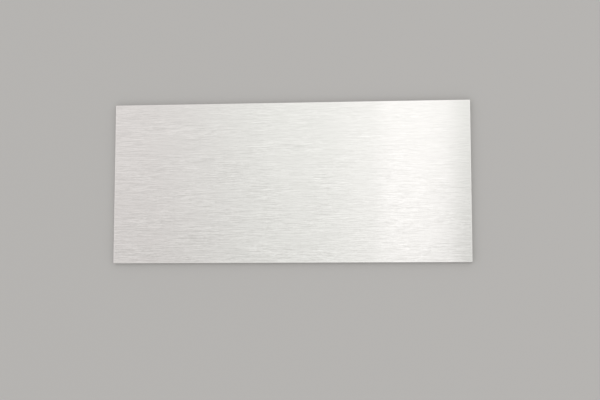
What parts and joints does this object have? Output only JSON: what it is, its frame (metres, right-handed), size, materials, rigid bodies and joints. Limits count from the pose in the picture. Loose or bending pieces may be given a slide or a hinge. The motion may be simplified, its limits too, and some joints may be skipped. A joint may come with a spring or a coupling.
{
  "type": "aluminium plate",
  "caption": "Flat rectangular aluminium plate, cut square from stock, with a linear brushed face, a mill-finish back and deburred rims.",
  "frame": {"origin": "centre of the plate's back face, which it lies on", "axes": "+X along the length and the brushing, +Y across the width, +Z out of the brushed face"},
  "size_m": [0.254, 0.1142, 0.0032],
  "materials": {
    "brushed_aluminium": "linear brushed face, mill-finish back, cut edges"
  },
  "bodies": {
    "root": {"plate": "brushed_aluminium"}
  },
  "joints": []
}
